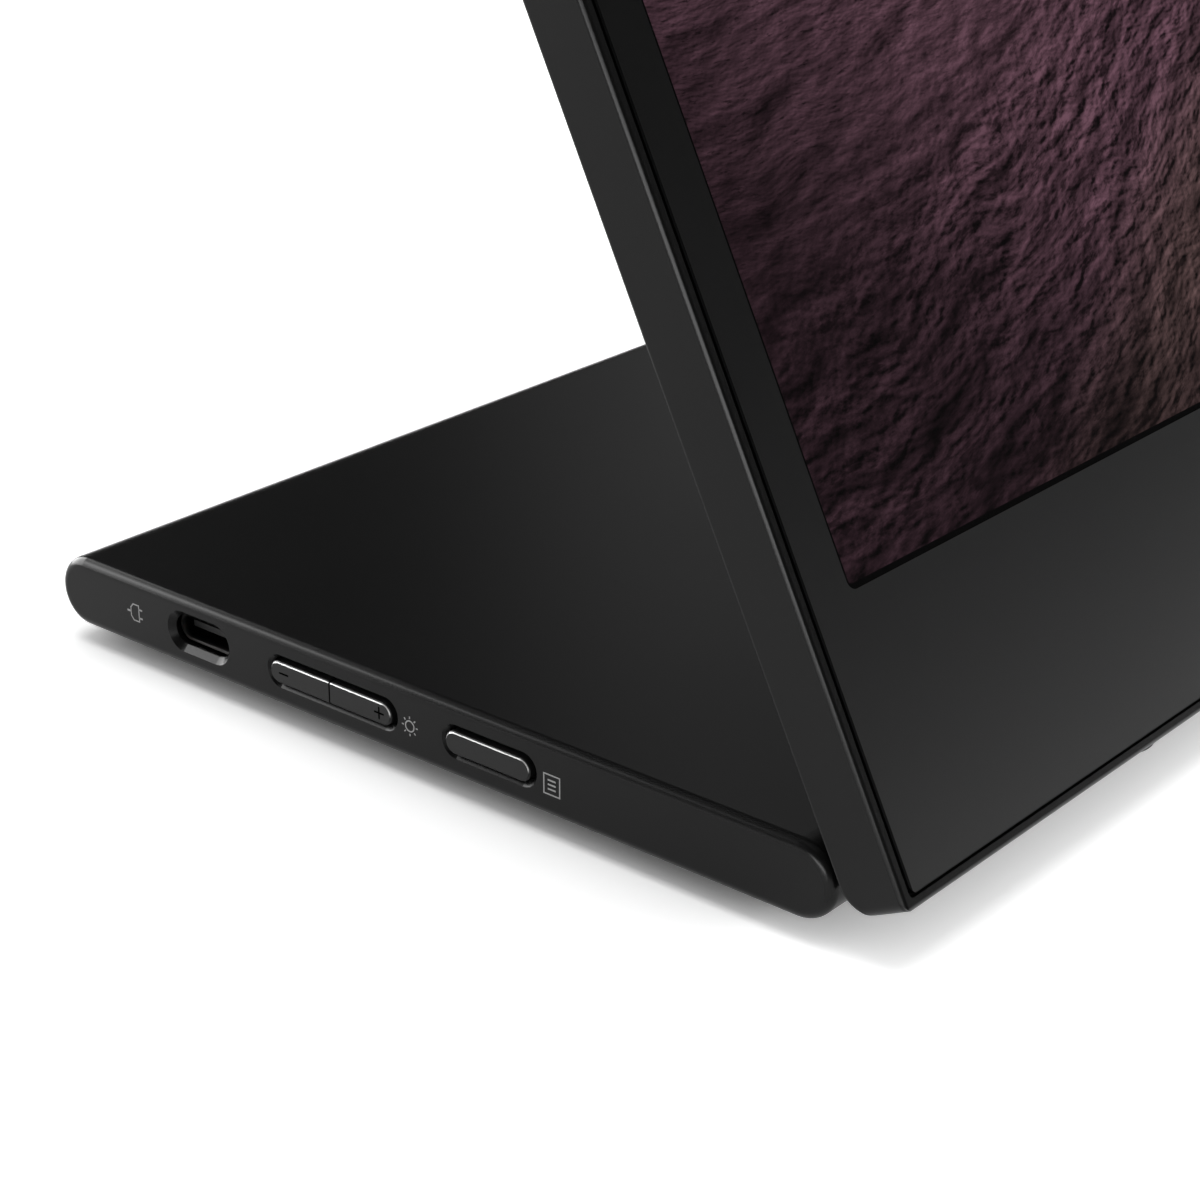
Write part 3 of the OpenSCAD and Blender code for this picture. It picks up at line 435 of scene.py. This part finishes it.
jacket = clouded("cable_jacket", size=0.0004, dark=grey(0.010), pale=grey(0.016), smooth=0.5, rough=0.65,
    depth=0.00001, Specular_IOR_Level=0.3)
jacket.dress("display_cable_base", "display_cable_screen", "glass_adhesive")

# ---- Screen housing ----
# A shallow tray of the same coated plastic, with a narrow lip round the glass. Its front edge is rounded more
# softly than a plain arc, which a shallow dip behind the lip gives.

softening_middle = 0.00026
softening_reach = 0.00042
softening_depth = 0.000076

# The screen tilts back until it lies flat, so at rest it leans by a quarter turn less what is left of its
# tilt.
screen_tilt = next(joint for joint in frame["joints"] if joint["name"] == "screen_tilt")
lean = math.radians(90 - screen_tilt["range_deg"][1])
up_screen = np.array([0, math.sin(lean), math.cos(lean)])
out_of_screen = np.array([0, -math.cos(lean), math.sin(lean)])


def reach(node, direction):
    """Lowest and highest place of a node along a direction, from its own points."""
    mesh = frame["nodes"][node].data
    points = np.empty(3 * len(mesh.vertices))
    mesh.vertices.foreach_get("co", points)
    places = points.reshape(-1, 3) @ direction
    return places.min(), places.max()


screen_coat = satin_coat("screen_coat")
behind_lip = reach("screen_housing", out_of_screen)[1] - screen_coat.place.along(out_of_screen)
softened = (behind_lip - softening_middle).math("ABSOLUTE").ramp(0.0, softening_reach)
screen_coat.relief(softened, softening_depth)
screen_coat.dress("screen_housing")

# ---- Panel behind the glass ----
# The liquid crystal cell, white reflector and diffuser films, an acrylic light guide, its strip of lamps and
# a pressed metal tray.

cell = clouded("panel_glass", size=0.02, dark=grey(0.004), pale=grey(0.006), smooth=0.2, rough=0.25,
    detail=2.0, Specular_IOR_Level=0.5)
cell.dress("lcd_cell")

film = clouded("white_film", size=0.01, dark=grey(0.78), pale=grey(0.84), smooth=0.4, rough=0.5,
    Specular_IOR_Level=0.4)
film.dress("diffuser_sheets", "reflector_sheet", "led_strip")

# Dots of the guide's printed pattern in a metre.
guide_dots = 1200.0
acrylic = Finish("clear_acrylic", Specular_IOR_Level=0.5)
dots = acrylic.place.node("TexVoronoi", {}, {"Vector": acrylic.place, "Scale": guide_dots},
    output="Distance")
acrylic.feed("Base Color", dots.ramp(0.2, 0.3).colours((0.80, 0.84, 0.85, 1), (0.62, 0.68, 0.70, 1)))
acrylic.feed("Roughness", 0.12 + dots * 0.1)
acrylic.dress("light_guide")

tray = clouded("tray_metal", size=0.003, dark=grey(0.5), pale=grey(0.62), smooth=0.32, rough=0.44, detail=4.0,
    Metallic=1.0)
tray.dress("backlight_tray")

# ---- Front glass and its picture ----
# One sheet of etched glass over the whole front. It is printed black on its back round a window, and the
# picture of the panel shows through that window: stony ground at dusk, seen from above.

picture_w = 0.3094
picture_h = 0.174
cell_margin_low = 0.0045
picture_low = reach("lcd_cell", up_screen)[0] + cell_margin_low
picture_corner = picture_low * up_screen + reach("cover_glass", out_of_screen)[1] * out_of_screen
glass = Finish("front_glass", Specular_IOR_Level=0.0, Coat_Roughness=0.28, Coat_IOR=1.5,
    Emission_Strength=1.0)
on_picture = glass.place.node("Mapping", {"vector_type": "TEXTURE"}, {
    "Vector": glass.place,
    "Location": (-picture_w / 2, picture_corner[1], picture_corner[2]),
    "Rotation": (math.pi / 2 - lean, 0, 0),
})
across = on_picture.part(0)
upwards = on_picture.part(1)

# The ground lies level below an eye, so that what stands at a height in the picture is as far away as one
# over its depth below the horizon. Its streaks run across at the left and swing upwards to the right, along
# one branch of a hyperbola, and a slow noise bends them.
horizon = 0.30
swing_start = 0.2
swing_slope = 0.4
bend_size = 0.12
bend_reach = 0.025
away = 1 / (horizon - upwards)
aside = across * away
swing = (aside * aside + swing_start ** 2).math("SQRT") * swing_slope
ground = away.node("CombineXYZ", {}, {0: aside, 1: away * horizon - swing})
bend = ground.noise(bend_size, detail=2.0, output="Color")
bend = bend.node("VectorMath", {"operation": "SCALE"}, {0: bend, "Scale": bend_reach})
ground = ground.node("VectorMath", {"operation": "ADD"}, {0: ground, 1: bend})

# Low light comes from the far left and runs this way over the ground. A slope is read over a part of its
# heap's width.
low_light = np.array([0.6, -0.8])
slope_part = 0.3
deepest_shade = 0.1


def heaps(length, width, degrees, ahead=0.0):
    """Height of heaps that lie on the ground, with a length and a width, and run up to the right at an angle.
    It is read a little ahead, where the low light comes from."""
    turned = ground.node("Mapping", {"vector_type": "TEXTURE"}, {"Vector": ground,
        "Location": (*(ahead * low_light), 0), "Rotation": (0, 0, math.radians(degrees)),
        "Scale": (length, width, 1)})
    return turned.noise(1.0, detail=9.0, Roughness=0.62)


def lit_heaps(length, width, degrees, contrast):
    """Shade of heaps in low light: 1 on level ground, and more on the slopes that face the light."""
    rise = heaps(length, width, degrees) - heaps(length, width, degrees, ahead=width * slope_part)
    return (1 + rise * contrast).math("MAXIMUM", deepest_shade)


far_off = (upwards - across * 0.4).ramp(0.012, 0.036)


def by_distance(near, far):
    """The near pattern in the foreground, blended into the far one."""
    return near * (1 - far_off) + far * far_off


# Stones with dark crevices between them lie on long ridges. The foreground at the left is in dusk, and
# further in there are hollows.
stones = by_distance(lit_heaps(0.014, 0.006, 4, contrast=7.0), lit_heaps(0.012, 0.0036, -2, contrast=4.0))
crevices = by_distance(heaps(0.016, 0.005, 6).ramp(0.55, 0.62), heaps(0.009, 0.0022, -4).ramp(0.58, 0.64))
ridges = lit_heaps(0.055, 0.022, 10, contrast=4.0)
inwards = across * 0.75 + upwards
daylight = inwards.ramp(0.025, 0.085)
further_in = inwards.ramp(0.085, 0.2)
hollows = on_picture.noise(0.07, detail=4.0).ramp(0.35, 0.6) * further_in
brightness = stones * ridges * (1 - crevices * 0.6) * (daylight * 0.34 + 0.10) * (1 - hollows * 0.6)


def tint(*channels):
    """Colour from 0 to 255 per channel, made linear with the curve of a display."""
    return (*(((channel / 255 + 0.055) / 1.055) ** 2.4 for channel in channels), 1.0)


# The ground is a cool plum at the left and above, and a warmer brown towards the lower right.
patches = on_picture.noise(0.05, detail=3.0) - 0.5
towards_warm = across - upwards * 1.5 + patches * (further_in * 0.25 + 0.02)
warmth = towards_warm.ramp(0.02, 0.05) * (1 - further_in * 0.5)
picture = brightness.colours(grey(0.0), warmth.colours(tint(108, 76, 89), tint(107, 83, 83)))

edge_blur = 0.00004


def rectangle(margin, margin_low, rounding):
    """1 inside the picture's rectangle, widened by a margin and with rounded corners, and 0 outside it: from
    the distance to the rectangle that is smaller by the rounding all round."""
    low_x, high_x = rounding - margin, picture_w + margin - rounding
    low_y, high_y = rounding - margin_low, picture_h + margin - rounding
    beside = (low_x - across).math("MAXIMUM", across - high_x).math("MAXIMUM", 0.0)
    beyond = (low_y - upwards).math("MAXIMUM", upwards - high_y).math("MAXIMUM", 0.0)
    outside = (beside * beside + beyond * beyond).math("SQRT") - rounding
    return 1 - outside.ramp(0.0, edge_blur)


# The print and the picture are only on the front face, down to a skin of the glass.
skin = 0.0001
front_face = on_picture.part(2).ramp(-2 * skin, -skin)
lit = rectangle(margin=0.0, margin_low=0.0, rounding=0.0004) * front_face
window = rectangle(margin=0.0002, margin_low=0.0006, rounding=0.001) * front_face
etch = glass.place.noise(0.00012, detail=1.0)
facing_front = glass.facing.along(out_of_screen).ramp(0.6, 0.95)
glass.feed("Base Color", (facing_front * (1 - window)).colours(grey(0.0012), grey(0.003)))
glass.feed("Coat Weight", facing_front * (1 - window * 0.95))
glass.feed("Roughness", 0.3 + etch * 0.06)
glass.feed("Emission Color", lit.colours(grey(0.0), picture))
glass.relief(etch, depth=0.000001)
glass.dress("cover_glass")

# ---- Studio ----
# A white table that runs to the horizon under an even sky, and a black tent with a few lit panels in it,
# which the camera sees only as reflections. The camera looks down at the left end, from the front left.

look_down = 23.80
look_right = 49.60

scene = bpy.context.scene
camera = bpy.data.objects.new("camera", bpy.data.cameras.new("camera"))
scene.collection.objects.link(camera)
camera.location = (-0.3251, -0.16129, 0.1216)
camera.rotation_euler = [math.radians(angle) for angle in (90 - look_down, 0, -look_right)]
camera.data.sensor_width = 36
camera.data.lens = 77.94
camera.data.clip_start = 0.01
scene.camera = camera


def seen_directly(tree):
    """1 for the rays that show the background itself: from the camera, in a mirror or through glass."""
    path = tree.nodes.new("ShaderNodeLightPath")
    rays = [Shade(tree, path.outputs[name])
        for name in ("Is Camera Ray", "Is Glossy Ray", "Is Transmission Ray")]
    return rays[0].math("MAXIMUM", rays[1]).math("MAXIMUM", rays[2])


def bare_material(name):
    """A material with nothing in it but its output: the output node and the tree."""
    material = bpy.data.materials.new(name)
    material.use_nodes = True
    tree = material.node_tree
    tree.nodes.clear()
    return material, tree, tree.nodes.new("ShaderNodeOutputMaterial")


def staged(name, points, faces, material):
    """A mesh of the studio, which is not part of the object."""
    mesh = bpy.data.meshes.new(name)
    mesh.from_pydata(points, [], faces)
    mesh.materials.append(material)
    thing = bpy.data.objects.new(name, mesh)
    scene.collection.objects.link(thing)
    return thing


# The table looks white where it is seen, and bounces less light than it shows, so that little light reaches
# the object from below.
floor_bounce = 0.4
floor_seen = 1.4
floor_reach = 4.0
floor_white, floor_tree, floor_out = bare_material("floor_white")
floor_colour = seen_directly(floor_tree).colours(grey(floor_bounce), grey(floor_seen))
floor_shader = floor_colour.node("BsdfDiffuse", {}, {"Color": floor_colour})
floor_tree.links.new(floor_shader.socket, floor_out.inputs["Surface"])
floor_corners = [(x * floor_reach, y * floor_reach, 0) for x, y in ((-1, -1), (1, -1), (1, 1), (-1, 1))]
staged("floor", floor_corners, [(0, 1, 2, 3)], floor_white)

sky_level = 0.7
world = bpy.data.worlds.new("studio")
scene.world = world
world.use_nodes = True
background = world.node_tree.nodes["Background"]
background.inputs["Color"].default_value = grey(1.0)
seen = seen_directly(world.node_tree)
world.node_tree.links.new((sky_level + seen * (1 - sky_level)).socket, background.inputs["Strength"])

# Lit panels of the tent: azimuth from +X towards +Y and elevation of the middle, half width and half height,
# all in degrees, and radiance. Each fades out across its border. Between them the cloth glows faintly, most
# at the horizon.
panels = (
    (102, 14, 30, 24, 12.0),
    (148, -2, 14, 10, 1.3),
    (190, 3, 18, 9, 15.0),
    (30, 30, 14, 14, 0.4),
    (0, 88, 180, 26, 0.6),
)
panel_border = 4
cloth_glow = 0.06
cloth_glow_top = 60
tent_cloth, tent_tree, tent_out = bare_material("tent_cloth")
tent_coordinates = tent_tree.nodes.new("ShaderNodeTexCoord")
way = Shade(tent_tree, tent_coordinates.outputs["Object"])
way = way.node("VectorMath", {"operation": "NORMALIZE"}, {0: way})
azimuth = way.part(1).math("ARCTAN2", way.part(0)) * math.degrees(1)
elevation = way.part(2).math("ARCSINE") * math.degrees(1)
glow = (1 - elevation.ramp(0, cloth_glow_top)) * cloth_glow
for panel_azimuth, panel_elevation, half_width, half_height, radiance in panels:
    off_side = (azimuth - panel_azimuth).math("WRAP", 180.0, -180.0).math("ABSOLUTE")
    off_height = (elevation - panel_elevation).math("ABSOLUTE")
    within = 1 - off_side.ramp(half_width - panel_border, half_width + panel_border)
    within = within * (1 - off_height.ramp(half_height - panel_border, half_height + panel_border))
    glow = glow + within * radiance
tent_glow = glow.node("Emission", {}, {"Strength": glow})
tent_tree.links.new(tent_glow.socket, tent_out.inputs["Surface"])

# The tent is a half ball: radius times the cosines and sines of the rise from the horizon and of the turn.
# Its highest ring is closed by one flat face.
tent_radius = 3.0
tent_rings = 24
tent_sides = 72
rise, turn = np.meshgrid(np.linspace(0, math.pi / 2, tent_rings + 1)[:-1],
    np.arange(tent_sides) * 2 * math.pi / tent_sides, indexing="ij")
tent_points = tent_radius * np.stack([np.cos(rise) * np.cos(turn), np.cos(rise) * np.sin(turn), np.sin(rise)],
    axis=2).reshape(-1, 3)
ring_of, side_of = np.meshgrid(np.arange(tent_rings - 1), np.arange(tent_sides), indexing="ij")
next_side = (side_of + 1) % tent_sides
tent_faces = np.stack([ring_of * tent_sides + side_of, (ring_of + 1) * tent_sides + side_of,
    (ring_of + 1) * tent_sides + next_side, ring_of * tent_sides + next_side], axis=2).reshape(-1, 4)
top_face = [(tent_rings - 1) * tent_sides + side for side in range(tent_sides)]
tent = staged("tent", tent_points.tolist(), [*tent_faces.tolist(), top_face[::-1]], tent_cloth)
for ray in ("camera", "diffuse", "transmission", "volume_scatter", "shadow"):
    setattr(tent, "visible_" + ray, False)


def softbox(name, place, target, width, height, radiance):
    """Rectangular lamp that faces a target: its power is its radiance times its area times four."""
    light = bpy.data.lights.new(name, "AREA")
    light.shape = "RECTANGLE"
    light.size = width
    light.size_y = height
    light.energy = radiance * width * height * 4
    lamp = bpy.data.objects.new(name, light)
    scene.collection.objects.link(lamp)
    lamp.visible_glossy = False
    lamp.location = place
    way = np.asarray(target, float) - np.asarray(place, float)
    tip = math.acos(-way[2] / np.linalg.norm(way))
    lamp.rotation_euler = (tip, 0, math.atan2(way[1], way[0]) - math.pi / 2)


softbox("top_softbox", (-0.15, 0.0, 1.6), (0, 0, 0), width=1.2, height=1.2, radiance=2.1)
softbox("front_softbox", (1.1, -0.9, 0.35), (0.1, -0.02, 0), width=1.2, height=0.4, radiance=15.0)

scene.view_settings.view_transform = "Standard"
